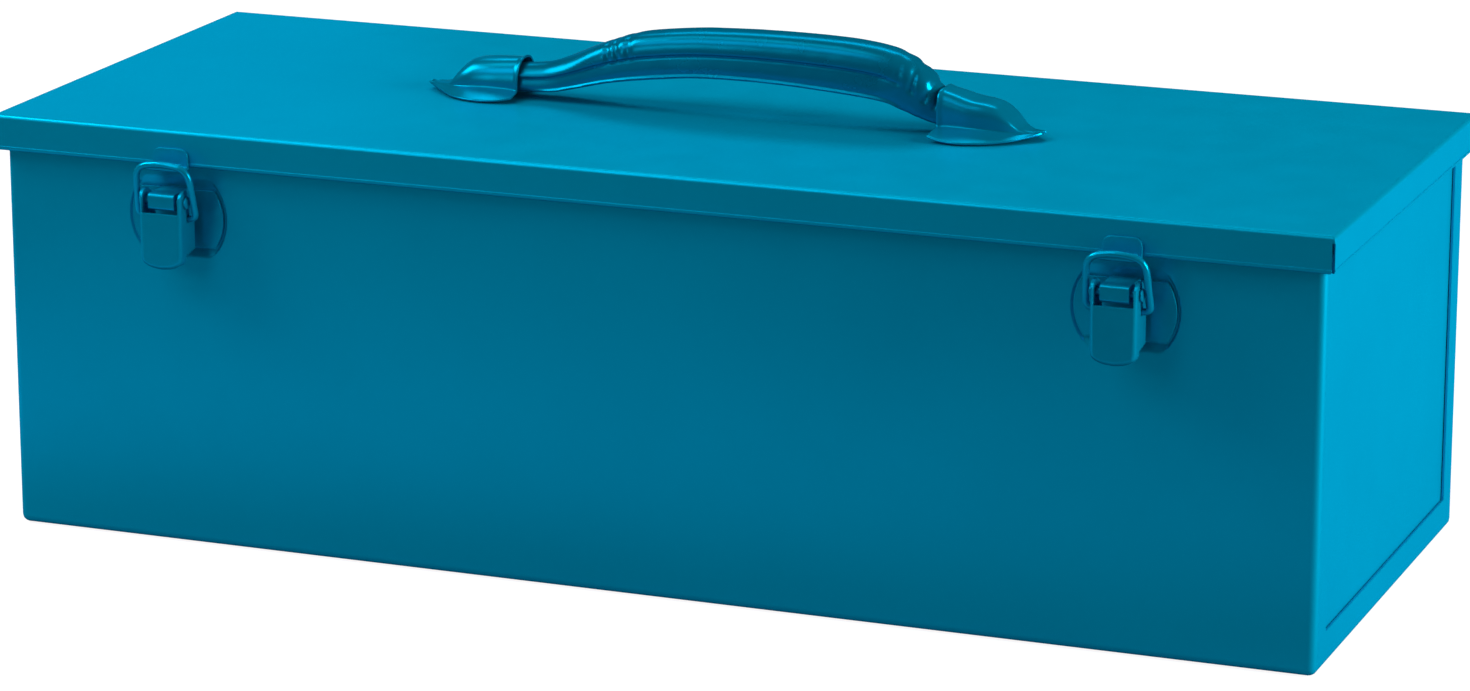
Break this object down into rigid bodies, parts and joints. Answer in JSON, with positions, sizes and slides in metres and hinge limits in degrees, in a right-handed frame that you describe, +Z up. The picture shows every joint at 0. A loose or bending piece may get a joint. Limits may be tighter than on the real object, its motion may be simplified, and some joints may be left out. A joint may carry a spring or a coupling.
{
  "type": "tool case",
  "caption": "Long sheet-steel tool case with a hinged lapped lid, a padded strap handle on top and draw latches with wire bails on the front.",
  "frame": {"origin": "middle of the flat bottom face", "axes": "+X along the length to the right seen from the front, -Y out of the front with the latches, +Z up"},
  "size_m": [0.507, 0.2125, 0.1888],
  "materials": {
    "teal_enamel": "semi-gloss teal enamel",
    "teal_vinyl": "glossy teal vinyl",
    "spring_steel": "oiled spring steel",
    "zinc_plate": "dull zinc plate"
  },
  "bodies": {
    "case": {"body_wrap": "teal_enamel", "end_panel_left": "teal_enamel", "latch_base_left": "teal_enamel", "latch_pin_left": "teal_enamel", "hinge_body_leaf_left": "teal_enamel", "hinge_pin_left": "zinc_plate", "end_panel_right": "teal_enamel", "latch_base_right": "teal_enamel", "latch_pin_right": "teal_enamel", "hinge_body_leaf_right": "teal_enamel", "hinge_pin_right": "zinc_plate"},
    "lid": {"lid": "teal_enamel", "handle_grip": "teal_vinyl", "handle_core": "spring_steel", "handle_cap_left": "teal_enamel", "handle_rivet_left": "zinc_plate", "handle_backing_left": "zinc_plate", "lid_catch_left": "teal_enamel", "hinge_lid_leaf_left": "teal_enamel", "handle_cap_right": "teal_enamel", "handle_rivet_right": "zinc_plate", "handle_backing_right": "zinc_plate", "lid_catch_right": "teal_enamel", "hinge_lid_leaf_right": "teal_enamel"},
    "lever_left": {"latch_lever_left": "teal_enamel"},
    "bail_left": {"latch_bail_left": "teal_enamel"},
    "lever_right": {"latch_lever_right": "teal_enamel"},
    "bail_right": {"latch_bail_right": "teal_enamel"}
  },
  "joints": [
    {"name": "lid_hinge", "type": "hinge", "parent": "case", "child": "lid", "pos_m": [0, 0.0989, 0.142], "axis": [-1, 0, 0], "range_deg": [0, 110]},
    {"name": "lever_pivot_left", "type": "hinge", "parent": "case", "child": "lever_left", "pos_m": [-0.18, -0.1065, 0.1323], "axis": [-1, 0, 0], "range_deg": [0, 130]},
    {"name": "bail_pivot_left", "type": "hinge", "parent": "lever_left", "child": "bail_left", "pos_m": [-0.18, -0.1045, 0.126], "axis": [-1, 0, 0], "range_deg": [-150, 0]},
    {"name": "lever_pivot_right", "type": "hinge", "parent": "case", "child": "lever_right", "pos_m": [0.18, -0.1065, 0.1323], "axis": [-1, 0, 0], "range_deg": [0, 130]},
    {"name": "bail_pivot_right", "type": "hinge", "parent": "lever_right", "child": "bail_right", "pos_m": [0.18, -0.1045, 0.126], "axis": [-1, 0, 0], "range_deg": [-150, 0]}
  ],
  "couplings": [
    {"joint": "bail_pivot_left", "follows": "lever_pivot_left", "ratio": -1},
    {"joint": "bail_pivot_right", "follows": "lever_pivot_right", "ratio": -1}
  ]
}
